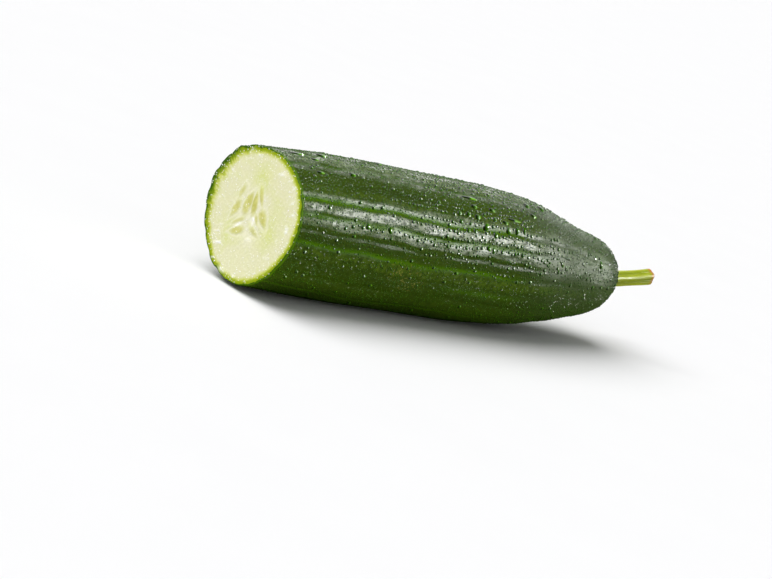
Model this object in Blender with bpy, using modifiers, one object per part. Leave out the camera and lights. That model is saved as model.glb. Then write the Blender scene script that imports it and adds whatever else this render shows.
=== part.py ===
"""Half of a ridged cucumber with its stalk, cut square across and lying on its side.

The cut end faces -X, the stalk points along +X, the floor is the plane Z = 0 and the
origin is on the floor under the middle of the whole. Angles round the body are clock
angles as seen from the cut end: 0 is the top, 90 is towards -Y and 180 is the floor.
"""

import math

import bmesh
import bpy
from mathutils import Matrix, Vector

MM = 0.001

# The body, from the cut to the stalk end
BODY_LENGTH = 176 * MM
CUT_RADIUS = 22.5 * MM
STATIONS = (
    # distance from the cut, mean radius
    (0 * MM, CUT_RADIUS),
    (35 * MM, 24.1 * MM),
    (70 * MM, 24.3 * MM),
    (102 * MM, 24.4 * MM),
    (126 * MM, 22.7 * MM),
    (141 * MM, 19.3 * MM),
    (157 * MM, 15.9 * MM),
)
SHOULDER_SLOPE = -0.10  # how the radius still changes along the shoulder at the last station
END_BLUNTNESS = 2.4  # 2 is an ellipse, and more is blunter
BEND = 8 * MM  # how far the stalk end swings towards -Y
FLAT_DEPTH = 0.5 * MM  # how far the belly is pressed flat where it lies

# Round the body: three chambers make three soft corners, and ribs run along it
CORNER_HEIGHT = 0.6 * MM
CORNER_AT = 298.0
RIBS = (
    # clock angle, height, depth of the furrow beyond it
    (12.0, 0.25 * MM, 0.15 * MM),
    (32.0, 0.05 * MM, 0.18 * MM),
    (46.5, 0.20 * MM, 0.42 * MM),
    (58.5, 0.25 * MM, 0.42 * MM),
    (72.0, 0.20 * MM, 0.16 * MM),
    (84.0, 0.05 * MM, 0.26 * MM),
    (98.0, 0.30 * MM, 0.12 * MM),
    (114.0, 0.05 * MM, 0.20 * MM),
    (132.0, 0.10 * MM, 0.15 * MM),
    (152.0, 0.05 * MM, 0.30 * MM),
    (172.0, 0.10 * MM, 0.12 * MM),
    (188.0, 0.10 * MM, 0.38 * MM),
    (206.0, 0.35 * MM, 0.30 * MM),
    (224.0, 0.10 * MM, 0.35 * MM),
    (243.0, 0.25 * MM, 0.40 * MM),
    (262.0, 0.30 * MM, 0.42 * MM),
    (281.0, 0.45 * MM, 0.45 * MM),
    (298.0, 0.20 * MM, 0.40 * MM),
    (318.0, 0.55 * MM, 0.40 * MM),
    (336.0, 0.20 * MM, 0.35 * MM),
    (352.0, 0.10 * MM, 0.30 * MM),
)
FURROW_SHARPNESS = 3
RIBS_FADE_FROM = 95 * MM
RIBS_FADE_TO = 150 * MM
RIBS_AT_SHOULDER = 0.25
WANDER = 1.3  # degrees that a rib strays to either side
WANDER_LENGTH = 115 * MM

# The stalk, five-ribbed, and the dimple and socket that it stands in
STALK_LENGTH = 23.2 * MM
STALK_RISE = 3.9 * MM
STALK_CURL = 1.2  # 1 is a straight rise, and more curls up towards the tip
STALK_RADII = (3.3 * MM, 3.15 * MM, 2.95 * MM, 2.85 * MM, 2.85 * MM, 2.95 * MM, 3.1 * MM)
STALK_RIBS = 5
STALK_RIB_HEIGHT = 0.06  # share of the radius
STALK_SIDES = 20
SOCKET_DEPTH = 2.4 * MM
SOCKET_GAP = 0.3 * MM
DIMPLE_DEPTH = 1.0 * MM
DIMPLE_RADIUS = 5.5 * MM

# The seeds that the cut lays bare, each standing a little out of its own pocket
SEEDS = (
    # distance from the middle, clock angle of its place, lean, length, width
    (3.9 * MM, -46.0, 188.0, 6.4 * MM, 2.5 * MM),
    (3.7 * MM, 4.0, 166.0, 6.2 * MM, 1.9 * MM),
    (6.8 * MM, 16.0, -30.0, 5.8 * MM, 1.5 * MM),
    (8.6 * MM, -55.0, 16.0, 4.6 * MM, 1.3 * MM),
    (7.7 * MM, -97.0, 26.0, 5.6 * MM, 2.2 * MM),
    (6.1 * MM, -131.0, 54.0, 6.4 * MM, 1.4 * MM),
    (8.0 * MM, -151.0, 60.0, 6.2 * MM, 1.9 * MM),
    (5.7 * MM, 85.0, -46.0, 4.8 * MM, 2.4 * MM),
    (3.2 * MM, 104.0, -38.0, 4.2 * MM, 1.6 * MM),
    (6.2 * MM, 142.0, -74.0, 4.4 * MM, 1.5 * MM),
)
SEED_PROUD = 0.85 * MM  # half of a seed's thickness
SEED_SUNK = 0.20 * MM  # how far a seed's middle lies behind the cut
SEED_POINT = 0.35  # how much narrower one end is
POCKET_MARGIN = 0.4 * MM
POCKET_DEPTH = 0.65 * MM

# Mesh fineness
SIDES = 120
BODY_RINGS = 24
END_RINGS = 7
SEED_SIDES = 14
SEED_RINGS = 6
MERGE = 0.00001


def clear_scene():
    for obj in list(bpy.data.objects):
        bpy.data.objects.remove(obj, do_unlink=True)


def make_collection(name, helper=False):
    collection = bpy.data.collections.new(name)
    collection.hide_render = helper
    bpy.context.scene.collection.children.link(collection)
    return collection


def make_material(name, color, roughness):
    material = bpy.data.materials.new(name)
    material.use_nodes = True
    material.diffuse_color = (*color, 1.0)
    shader = material.node_tree.nodes["Principled BSDF"]
    shader.inputs["Base Color"].default_value = (*color, 1.0)
    shader.inputs["Roughness"].default_value = roughness
    shader.inputs["Metallic"].default_value = 0.0
    return material


def add_object(name, data, collection):
    obj = bpy.data.objects.new(name, data)
    collection.objects.link(obj)
    return obj


def evaluated_mesh(obj):
    """A mesh of the object with its modifiers or curve settings taken in."""
    graph = bpy.context.evaluated_depsgraph_get()
    graph.update()
    return bpy.data.meshes.new_from_object(obj.evaluated_get(graph))


def clock_direction(angle):
    """The direction across the body at a clock angle in degrees."""
    turn = math.radians(angle)
    return Vector((0.0, -math.sin(turn), math.cos(turn)))


def station_radius(x):
    """A smooth curve through the stations, by cubic Hermite spans."""
    last = len(STATIONS) - 1
    i = max(k for k in range(last) if STATIONS[k][0] <= max(x, 0.0))

    def slope(k):
        if k == last:
            return SHOULDER_SLOPE
        low, high = STATIONS[max(k - 1, 0)], STATIONS[k + 1]
        return (high[1] - low[1]) / (high[0] - low[0])

    (x0, r0), (x1, r1) = STATIONS[i], STATIONS[i + 1]
    span = x1 - x0
    u = (x - x0) / span
    return (
        (2 * u**3 - 3 * u**2 + 1) * r0
        + (u**3 - 2 * u**2 + u) * span * slope(i)
        + (3 * u**2 - 2 * u**3) * r1
        + (u**3 - u**2) * span * slope(i + 1)
    )


def body_profile():
    """Points (distance from the cut, radius) from the cut's rim to the stalk end's middle."""
    end_at, end_radius = STATIONS[-1]
    end_length = BODY_LENGTH - end_at
    points = [
        (end_at * k / BODY_RINGS, station_radius(end_at * k / BODY_RINGS))
        for k in range(BODY_RINGS)
    ]
    power = 2 / END_BLUNTNESS
    for k in range(END_RINGS + 1):
        turn = math.pi / 2 * k / END_RINGS
        x = end_at + end_length * math.sin(turn) ** power
        tapered = end_radius + SHOULDER_SLOPE * (x - end_at)
        radius = tapered * max(math.cos(turn), 0.0) ** power
        dimple = DIMPLE_DEPTH * math.exp(-((radius / DIMPLE_RADIUS) ** 2) * 2)
        points.append((x - dimple, 0.0 if k == END_RINGS else radius))
    return points


def smooth_step(value, low, high):
    u = min(max((value - low) / (high - low), 0.0), 1.0)
    return u * u * (3 - 2 * u)


def rib_relief(angle, x):
    """How far the skin stands out or in from the mean radius at a clock angle."""
    stray = WANDER * math.sin(2 * math.pi * x / WANDER_LENGTH + math.radians(angle))
    angle = (angle + stray - RIBS[0][0]) % 360 + RIBS[0][0]
    i = max(k for k in range(len(RIBS)) if RIBS[k][0] <= angle)
    here, beyond = RIBS[i], RIBS[(i + 1) % len(RIBS)]
    width = (beyond[0] - here[0]) % 360
    u = (angle - here[0]) / width
    crest = here[1] + (beyond[1] - here[1]) * smooth_step(u, 0, 1)
    return crest - here[2] * math.sin(math.pi * u) ** FURROW_SHARPNESS


def relief(angle, x):
    fade = 1 - (1 - RIBS_AT_SHOULDER) * smooth_step(x, RIBS_FADE_FROM, RIBS_FADE_TO)
    corner = CORNER_HEIGHT * math.cos(3 * math.radians(angle - CORNER_AT))
    return fade * (rib_relief(angle, x) + corner)


def axis_point(x):
    """A point of the body's axis, before the body is set down on the floor."""
    return Vector((x, -BEND * (x / BODY_LENGTH) ** 2, 0))


def axis_turn(x):
    """The turn that carries +X onto the body's axis at a distance from the cut."""
    slope = -2 * BEND * x / BODY_LENGTH**2
    return Vector((1, 0, 0)).rotation_difference(Vector((1, slope, 0)))


def grown(point):
    """Where a point of the plain turned body goes once the body is ribbed and bent."""
    radius = math.hypot(point.y, point.z)
    angle = math.degrees(math.atan2(-point.y, point.z))
    rise = relief(angle, point.x) * min(radius / STATIONS[-1][1], 1.0)
    across = clock_direction(angle) * (radius + rise)
    return axis_point(point.x) + axis_turn(point.x) @ across


def turned_body(collection):
    """The body as a plain turned shape, open at the cut."""
    points = [Vector((x, 0.0, radius)) for x, radius in body_profile()]
    mesh = bpy.data.meshes.new("body_profile")
    edges = [(k, k + 1) for k in range(len(points) - 1)]
    mesh.from_pydata(points, edges, [])
    profile = add_object("body_profile", mesh, collection)
    screw = profile.modifiers.new("turn", "SCREW")
    screw.axis = "X"
    screw.angle = math.tau
    screw.steps = screw.render_steps = SIDES
    screw.use_merge_vertices = True
    screw.merge_threshold = MERGE
    turned = evaluated_mesh(profile)
    bpy.data.objects.remove(profile, do_unlink=True)
    return turned


def close_and_shape(mesh):
    """Closes the cut with one face, grows the ribs and the bend, and presses the belly flat."""
    shape = bmesh.new()
    shape.from_mesh(mesh)
    rim = [edge for edge in shape.edges if edge.is_boundary]
    bmesh.ops.holes_fill(shape, edges=rim, sides=0)
    for vertex in shape.verts:
        vertex.co = grown(vertex.co)
    floor = min(vertex.co.z for vertex in shape.verts) + FLAT_DEPTH
    for vertex in shape.verts:
        vertex.co.z = max(vertex.co.z, floor)
    bmesh.ops.recalc_face_normals(shape, faces=shape.faces)
    shape.to_mesh(mesh)
    shape.free()
    return floor


def seed_shape(name, place, size, collection):
    """One flattened seed, broad at its outer end and pointed at the other."""
    length, width, depth = size
    shape = bmesh.new()
    bmesh.ops.create_uvsphere(
        shape, u_segments=SEED_SIDES, v_segments=SEED_RINGS, radius=0.5
    )
    for vertex in shape.verts:
        across = 1 - SEED_POINT * (0.5 - vertex.co.z)
        vertex.co = Vector(
            (
                vertex.co.x * 2 * depth * across,
                vertex.co.y * width * across,
                vertex.co.z * length,
            )
        )
    bmesh.ops.transform(shape, matrix=place, verts=shape.verts)
    bmesh.ops.recalc_face_normals(shape, faces=shape.faces)
    mesh = bpy.data.meshes.new(name)
    shape.to_mesh(mesh)
    shape.free()
    return add_object(name, mesh, collection)


def seed_place(out, at, lean, sunk):
    """The middle of a seed or pocket near the cut face, with its length turned to its lean."""
    turn = Matrix.Rotation(math.radians(lean), 4, "X")
    middle = clock_direction(at) * out + Vector((sunk, 0, 0))
    return Matrix.Translation(middle) @ turn


def apply_boolean(obj, operation, collection):
    """Cuts the collection from the object or joins it on, and removes the collection."""
    modifier = obj.modifiers.new(operation.lower(), "BOOLEAN")
    modifier.operation = operation
    modifier.operand_type = "COLLECTION"
    modifier.collection = collection
    modifier.solver = "MANIFOLD"
    joined = evaluated_mesh(obj)
    obj.modifiers.clear()
    obj.data = joined
    for helper in list(collection.objects):
        bpy.data.objects.remove(helper, do_unlink=True)
    bpy.data.collections.remove(collection)


def weld(mesh):
    """Joins points that coincide and turns every face outwards."""
    shape = bmesh.new()
    shape.from_mesh(mesh)
    bmesh.ops.remove_doubles(shape, verts=shape.verts, dist=MERGE)
    bmesh.ops.dissolve_degenerate(shape, edges=shape.edges, dist=MERGE)
    bmesh.ops.recalc_face_normals(shape, faces=shape.faces)
    shape.to_mesh(mesh)
    shape.free()


def add_seeds(fruit):
    """Cuts the pockets and the stalk's socket, and joins the seeds on."""
    cutters = make_collection("cutters", helper=True)
    seeds = make_collection("seeds", helper=True)
    for number, (out, at, lean, length, width) in enumerate(SEEDS, start=1):
        margin = 2 * POCKET_MARGIN
        pocket = (length + margin, width + margin, POCKET_DEPTH)
        seed = (length, width, SEED_PROUD)
        seed_shape(f"pocket_{number}", seed_place(out, at, lean, -SEED_SUNK), pocket, cutters)
        seed_shape(f"seed_{number}", seed_place(out, at, lean, SEED_SUNK), seed, seeds)
    socket_shape(cutters)
    apply_boolean(fruit, "DIFFERENCE", cutters)
    apply_boolean(fruit, "UNION", seeds)
    weld(fruit.data)


def stalk_point(share):
    """A point of the stalk's middle line, from the bottom of its socket to its tip."""
    root = axis_point(BODY_LENGTH)
    direction = axis_turn(BODY_LENGTH) @ Vector((1, 0, 0))
    along = -(DIMPLE_DEPTH + SOCKET_DEPTH - SOCKET_GAP) + share * (
        STALK_LENGTH + DIMPLE_DEPTH + SOCKET_DEPTH - SOCKET_GAP
    )
    rise = STALK_RISE * max(along / STALK_LENGTH, 0.0) ** STALK_CURL
    return root + direction * along + Vector((0, 0, rise))


def stalk_radius(share):
    place = share * (len(STALK_RADII) - 1)
    i = min(int(place), len(STALK_RADII) - 2)
    return STALK_RADII[i] + (STALK_RADII[i + 1] - STALK_RADII[i]) * (place - i)


def socket_shape(cutters):
    """The round cutter of the socket that the stalk's root stands in."""
    root = axis_point(BODY_LENGTH)
    direction = axis_turn(BODY_LENGTH) @ Vector((1, 0, 0))
    reach = 2 * SOCKET_DEPTH + DIMPLE_DEPTH
    radius = STALK_RADII[0] * (1 + STALK_RIB_HEIGHT) + SOCKET_GAP
    shape = bmesh.new()
    bmesh.ops.create_cone(
        shape,
        cap_ends=True,
        segments=2 * STALK_SIDES,
        radius1=radius,
        radius2=radius,
        depth=reach,
    )
    mesh = bpy.data.meshes.new("socket")
    shape.to_mesh(mesh)
    shape.free()
    cutter = add_object("socket", mesh, cutters)
    cutter.location = root + direction * (reach / 2 - DIMPLE_DEPTH - SOCKET_DEPTH)
    cutter.rotation_mode = "QUATERNION"
    cutter.rotation_quaternion = direction.to_track_quat("Z", "Y")
    return cutter


def make_fruit(collection, skin, flesh):
    mesh = turned_body(collection)
    mesh.name = "fruit"
    floor = close_and_shape(mesh)
    fruit = add_object("fruit", mesh, collection)
    add_seeds(fruit)
    fruit.data.materials.clear()
    fruit.data.materials.append(skin)
    fruit.data.materials.append(flesh)
    for face in fruit.data.polygons:
        face.material_index = 1 if face.center.x < POCKET_DEPTH else 0
    fruit.data.shade_smooth()
    fruit.data.set_sharp_from_angle(angle=math.radians(35))
    return fruit, floor


def make_stalk(collection, green):
    """A curve swept with a five-ribbed section, fat at its root and at its cut tip."""
    section = bpy.data.curves.new("stalk_section", "CURVE")
    outline = section.splines.new("POLY")
    outline.points.add(STALK_SIDES - 1)
    for k, point in enumerate(outline.points):
        turn = math.tau * k / STALK_SIDES
        radius = 1 + STALK_RIB_HEIGHT * math.cos(STALK_RIBS * turn)
        point.co = (radius * math.cos(turn), radius * math.sin(turn), 0, 1)
    outline.use_cyclic_u = True
    guide = add_object("stalk_section", section, collection)
    guide.hide_render = True

    path = bpy.data.curves.new("stalk", "CURVE")
    path.dimensions = "3D"
    path.bevel_mode = "OBJECT"
    path.bevel_object = guide
    path.use_fill_caps = True
    spline = path.splines.new("POLY")
    count = 2 * len(STALK_RADII) - 1
    spline.points.add(count - 1)
    for k, point in enumerate(spline.points):
        share = k / (count - 1)
        point.co = (*stalk_point(share), 1)
        point.radius = stalk_radius(share)
    swept = add_object("stalk_path", path, collection)
    mesh = evaluated_mesh(swept)
    bpy.data.objects.remove(swept, do_unlink=True)
    bpy.data.objects.remove(guide, do_unlink=True)

    weld(mesh)
    mesh.name = "stalk"
    stalk = add_object("stalk", mesh, collection)
    mesh.materials.clear()
    mesh.materials.append(green)
    mesh.shade_smooth()
    mesh.set_sharp_from_angle(angle=math.radians(35))
    return stalk


def set_down(parts, floor, collection):
    """Parents the parts to one empty that puts the origin under their middle."""
    corners = [part.matrix_world @ Vector(c) for part in parts for c in part.bound_box]
    low = Vector(map(min, *corners))
    high = Vector(map(max, *corners))
    whole = add_object("cucumber_half", None, collection)
    whole.location = (-(low.x + high.x) / 2, -(low.y + high.y) / 2, -floor)
    for part in parts:
        part.parent = whole
    bpy.context.view_layer.update()


def main():
    clear_scene()
    collection = make_collection("cucumber")
    skin = make_material("skin", (0.035, 0.105, 0.018), 0.35)
    flesh = make_material("flesh", (0.80, 0.81, 0.50), 0.45)
    green = make_material("stalk", (0.30, 0.42, 0.06), 0.5)
    fruit, floor = make_fruit(collection, skin, flesh)
    stalk = make_stalk(collection, green)
    bpy.context.view_layer.update()
    set_down([fruit, stalk], floor, collection)


main()
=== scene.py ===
"""The looks of a half cucumber: cut square, wet with dew, its stalk on, on a pale floor.

Lengths are in metres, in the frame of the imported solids: +X from the cut to the stalk, +Z up.
Angles round the body are clock angles in degrees as seen from the cut: 0 is the top, 90 is
towards -Y and 180 is the floor.
"""

import itertools
import logging
import math
from contextlib import contextmanager
from dataclasses import dataclass, field
from enum import Enum
from typing import Any, Callable, Iterator, Sequence, Union

import bpy
import numpy as np
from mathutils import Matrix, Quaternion, Vector


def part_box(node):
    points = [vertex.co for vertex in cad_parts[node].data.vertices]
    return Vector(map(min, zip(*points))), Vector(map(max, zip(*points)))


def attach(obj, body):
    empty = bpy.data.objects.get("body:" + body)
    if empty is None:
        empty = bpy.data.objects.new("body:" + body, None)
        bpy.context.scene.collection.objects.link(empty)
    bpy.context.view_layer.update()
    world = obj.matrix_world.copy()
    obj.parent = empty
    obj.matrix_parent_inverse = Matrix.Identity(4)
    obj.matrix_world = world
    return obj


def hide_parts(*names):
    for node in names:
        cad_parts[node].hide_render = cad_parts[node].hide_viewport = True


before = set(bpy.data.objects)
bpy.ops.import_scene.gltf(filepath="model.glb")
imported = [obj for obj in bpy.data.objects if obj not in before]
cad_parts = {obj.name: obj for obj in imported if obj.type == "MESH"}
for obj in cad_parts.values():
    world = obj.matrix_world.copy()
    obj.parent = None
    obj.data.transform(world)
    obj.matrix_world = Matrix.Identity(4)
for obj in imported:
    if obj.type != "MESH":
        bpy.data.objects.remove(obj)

LOG = logging.getLogger("half_cucumber")
MM = 0.001
PHOTO_WIDTH, PHOTO_HEIGHT = 772, 579
MERGED = 0.002 * MM
WINDOW_DIRECTION = (0.82, -0.43, 0.38)
SHEEN_DIRECTION = (0.712, -0.595, 0.37)

Colour = tuple[float, float, float]
Reach = tuple[float, float]
Array = np.ndarray
Piece = bpy.types.Object
Material = bpy.types.Material


def colour_of(red: int, green: int, blue: int) -> Colour:
    """Turns a colour as seen on a screen into the linear values that shaders use."""
    shares = (channel / 255 for channel in (red, green, blue))
    return tuple(s / 12.92 if s < 0.04045 else ((s + 0.055) / 1.055) ** 2.4 for s in shares)


def smooth_step(value: Array, low: float, high: float) -> Array:
    """Rises smoothly from 0 at low to 1 at high."""
    u = np.clip((value - low) / (high - low), 0.0, 1.0)
    return u * u * (3 - 2 * u)


def deselect_all() -> None:
    """Leaves nothing selected, so that an operator acts on its own piece alone."""
    bpy.ops.object.select_all(action="DESELECT")


@contextmanager
def editing() -> Iterator[None]:
    """Holds the active piece in edit mode, with all of it selected."""
    bpy.ops.object.mode_set(mode="EDIT")
    bpy.ops.mesh.select_all(action="SELECT")
    yield
    bpy.ops.object.mode_set(mode="OBJECT")


def clock_directions(clock: Array) -> Array:
    """The directions across the body at clock angles in degrees."""
    turn = np.radians(clock)
    return np.stack([np.zeros_like(turn), -np.sin(turn), np.cos(turn)], axis=-1)


def turn_from(clock: Array, middle: float) -> Array:
    """The turns from a middle angle to clock angles, from -180 to 180 degrees."""
    return (clock - middle + 180) % 360 - 180


def bell(*ways: Array) -> Array:
    """A soft bump, 1 where all the ways are 0 and nearly gone where one is past 2."""
    return np.exp(-sum(way**2 for way in ways))


def unit(vectors: Array) -> Array:
    """Vectors scaled to a length of 1."""
    return vectors / np.linalg.norm(vectors, axis=-1, keepdims=True)


# Shader maths


class Signal:
    """A value that changes over a surface: a socket, with the maths that is done on it."""

    def __init__(self, bench: "Bench", socket: bpy.types.NodeSocket) -> None:
        """Wraps a socket."""
        self.bench = bench
        self.socket = socket

    def _math(self, operation: str, *values: "Feed") -> "Signal":
        """One Math node."""
        return self.bench.node("ShaderNodeMath", {"operation": operation}, dict(enumerate(values)))

    def __add__(self, other: "Feed") -> "Signal":
        """This plus other."""
        return self._math("ADD", self, other)

    def __radd__(self, other: "Feed") -> "Signal":
        """Other plus this."""
        return self._math("ADD", other, self)

    def __sub__(self, other: "Feed") -> "Signal":
        """This minus other."""
        return self._math("SUBTRACT", self, other)

    def __rsub__(self, other: "Feed") -> "Signal":
        """Other minus this."""
        return self._math("SUBTRACT", other, self)

    def __mul__(self, other: "Feed") -> "Signal":
        """This times other."""
        return self._math("MULTIPLY", self, other)

    def __rmul__(self, other: "Feed") -> "Signal":
        """Other times this."""
        return self._math("MULTIPLY", other, self)

    def step(self, low: float, high: float) -> "Signal":
        """Rises smoothly from 0 to 1 as this goes from low to high, which may be the lower."""
        settings = {"interpolation_type": "SMOOTHSTEP"}
        return self.bench.node("ShaderNodeMapRange", settings, {0: self, 1: low, 2: high})

    def clamped(self) -> "Signal":
        """This, kept between 0 and 1."""
        return self.bench.node("ShaderNodeClamp", {}, {0: self})


Feed = Union[Signal, float, Sequence[float]]


class Bench:
    """Where one material is put together, node by node."""

    def __init__(self, name: str) -> None:
        """Starts a material that holds a Principled shader alone.

        Args:
            name: The material's name.
        """
        self.material = bpy.data.materials.new(name)
        self.material.use_nodes = True
        self.tree = self.material.node_tree
        self.shader = next(n for n in self.tree.nodes if n.type == "BSDF_PRINCIPLED")

    def feed(self, socket: bpy.types.NodeSocket, value: Feed) -> None:
        """Links a signal to a socket, or sets the socket to a plain value.

        Args:
            socket: The input socket.
            value: What it gets.
        """
        if isinstance(value, Signal):
            self.tree.links.new(value.socket, socket)
        elif socket.type == "RGBA":
            socket.default_value = (*value, 1.0)
        else:
            socket.default_value = value

    def node(
        self,
        kind: str,
        settings: dict[str, Any],
        inputs: dict[Union[int, str], Feed],
        output: Union[int, str] = 0,
    ) -> Signal:
        """Adds one node.

        Args:
            kind: The node's type.
            settings: Its properties, which are set first.
            inputs: Its sockets' values or links, by place or name.
            output: Which output is wanted.

        Returns:
            The wanted output.
        """
        made = self.tree.nodes.new(kind)
        for name, value in settings.items():
            setattr(made, name, value)
        for name, value in inputs.items():
            self.feed(made.inputs[name], value)
        return Signal(self, made.outputs[output])

    def attribute(self, name: str, output: str = "Fac") -> Signal:
        """A value or place that the piece's own mesh holds."""
        return self.node("ShaderNodeAttribute", {"attribute_name": name}, {}, output)

    def stretched(self, place: Signal, scale: Sequence[float]) -> Signal:
        """Coordinates scaled along each axis."""
        return self.node("ShaderNodeMapping", {}, {"Vector": place, "Scale": scale})

    def noise(self, place: Signal, grain: float, detail: float = 3.0, swirl: float = 0.0) -> Signal:
        """Soft noise from 0 to 1."""
        inputs = {"Vector": place, "Scale": 1 / grain, "Detail": detail, "Distortion": swirl}
        return self.node("ShaderNodeTexNoise", {}, inputs)

    def dots(self, place: Signal, spacing: float, output: str = "Distance") -> Signal:
        """Cells round scattered points."""
        inputs = {"Vector": place, "Scale": 1 / spacing}
        return self.node("ShaderNodeTexVoronoi", {}, inputs, output)

    def mix(self, share: Feed, low: Feed, high: Feed) -> Signal:
        """Blends two colours.

        Args:
            share: How much of high there is.
            low: The colour at 0.
            high: The colour at 1.

        Returns:
            The blend.
        """
        made = self.tree.nodes.new("ShaderNodeMix")
        made.data_type = "RGBA"
        for place, value in ((0, share), (6, low), (7, high)):
            self.feed(made.inputs[place], value)
        return Signal(self, made.outputs[2])

    def bump(self, height: Signal, depth: float, under: Union[Signal, None] = None) -> Signal:
        """A bumped normal.

        Args:
            height: The height, where 1 stands out by depth.
            depth: The relief in metres.
            under: A coarser normal that this one lies on.

        Returns:
            The normal.
        """
        inputs: dict[Union[int, str], Feed] = {"Height": height, "Distance": depth}
        if under is not None:
            inputs["Normal"] = under
        return self.node("ShaderNodeBump", {}, inputs)

    def finish(
        self,
        over: Union[tuple[Signal, dict[str, Feed]], None] = None,
        **sockets: Feed,
    ) -> Material:
        """Feeds the Principled shader and hands the material over.

        Args:
            over: A second Principled shader's share and its inputs, where there is one.
            sockets: The shader's inputs, by name with _ for each space.

        Returns:
            The material.
        """
        for name, value in sockets.items():
            self.feed(self.shader.inputs[name.replace("_", " ")], value)
        if over is not None:
            share, inputs = over
            second = self.node("ShaderNodeBsdfPrincipled", {}, inputs)
            first = Signal(self, self.shader.outputs[0])
            mixed = self.node("ShaderNodeMixShader", {}, {0: share, 1: first, 2: second})
            output = next(n for n in self.tree.nodes if n.type == "OUTPUT_MATERIAL")
            self.feed(output.inputs["Surface"], mixed)
        return self.material


# Finishes


@dataclass(frozen=True)
class SkinFinish:
    """Waxy dark green skin: yellow-green streaks in its furrows, greyer at the neck, a few scars."""

    deep: Colour = colour_of(46, 60, 20)
    green: Colour = colour_of(68, 92, 16)
    fresh: Colour = colour_of(104, 132, 34)
    streak: Colour = colour_of(84, 132, 2)
    neck: Colour = colour_of(72, 94, 36)
    scar: Colour = colour_of(158, 150, 70)
    edge: Colour = colour_of(92, 136, 4)
    panel_grain: float = 9 * MM
    fibre_grain: float = 1.1 * MM
    mottle_grain: float = 1.6 * MM
    freckle_spacing: float = 1.1 * MM
    scar_grain: float = 0.9 * MM
    patch_grain: float = 2.6 * MM
    swell_grain: float = 7 * MM
    swell_depth: float = 0.55 * MM
    grain_depth: float = 0.025 * MM
    neck_reach: Reach = (112 * MM, 150 * MM)
    bloom_reach: Reach = (104 * MM, 132 * MM)
    edge_reach: Reach = (1.3 * MM, 0.1 * MM)
    roughness: float = 0.46
    bloom_roughness: float = 0.44
    bloom_gloss: float = 0.42
    wax_roughness: float = 0.17

    def material(self) -> Material:
        """Builds the skin's material."""
        bench = Bench("skin")
        place = bench.attribute("grown_from", "Vector")
        streaked, wetness = bench.attribute("streak"), bench.attribute("wetness")
        along = bench.node("ShaderNodeSeparateXYZ", {}, {0: place}, "X")
        drawn_out = bench.stretched(place, (0.16, 1.0, 1.0))
        panels = bench.noise(drawn_out, self.panel_grain, 2.0)
        fibres = bench.noise(drawn_out, self.fibre_grain)
        mottle = bench.noise(place, self.mottle_grain, 4.0)
        scarred = bench.attribute("scarred") * bench.noise(place, self.scar_grain, 4.0).step(0.56, 0.66)
        freckles = bench.dots(place, self.freckle_spacing).step(0.24, 0.10) * panels.step(0.3, 0.6)
        crest = bench.attribute("rib").step(0.0, 1.0) * mottle.step(0.35, 0.7)
        tone = (panels * 0.9 + fibres * 0.35 + mottle * 0.5 - 0.42).clamped()
        colour = bench.mix(tone, self.deep, self.green)
        for share, over in (
            (crest * 0.55, self.fresh),
            (along.step(*self.neck_reach) * 0.62, self.neck),
            ((streaked * (fibres * 0.9 + 0.45)).clamped() * 0.85, self.streak),
            (freckles * 0.45, self.fresh),
            (scarred * 0.75, self.scar),
            (along.step(*self.edge_reach) * 0.8, self.edge),
        ):
            colour = bench.mix(share, colour, over)

        patches = bench.noise(bench.stretched(place, (0.3, 1.0, 1.0)), self.patch_grain, 3.0, 0.5)
        wax = (1.05 - streaked * 0.85) * (0.30 + patches.step(0.36, 0.60) * 0.70)
        wax = wax * (0.35 + mottle.step(0.34, 0.62) * 0.75) * wetness - scarred * 0.5
        bloom = along.step(*self.bloom_reach) * (0.75 + mottle * 0.4) * (wetness * 1.15 + 0.2)
        swell = bench.noise(bench.stretched(place, (0.5, 1.0, 1.0)), self.swell_grain, 2.0)
        swell = bench.bump(swell, self.swell_depth)
        normal = bench.bump(mottle * 0.6 + fibres * 0.4, self.grain_depth, under=swell)
        bloomed = {
            "Base Color": colour,
            "Roughness": self.bloom_roughness,
            "Normal": normal,
            "Specular IOR Level": self.bloom_gloss,
        }
        return bench.finish(
            Base_Color=colour,
            Roughness=self.roughness + mottle * 0.12 + scarred * 0.2,
            Normal=normal,
            IOR=1.42,
            Specular_IOR_Level=0.0,
            Coat_Weight=wax.clamped(),
            Coat_Roughness=self.wax_roughness,
            Coat_IOR=1.45,
            over=(bloom.clamped(), bloomed),
        )


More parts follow.
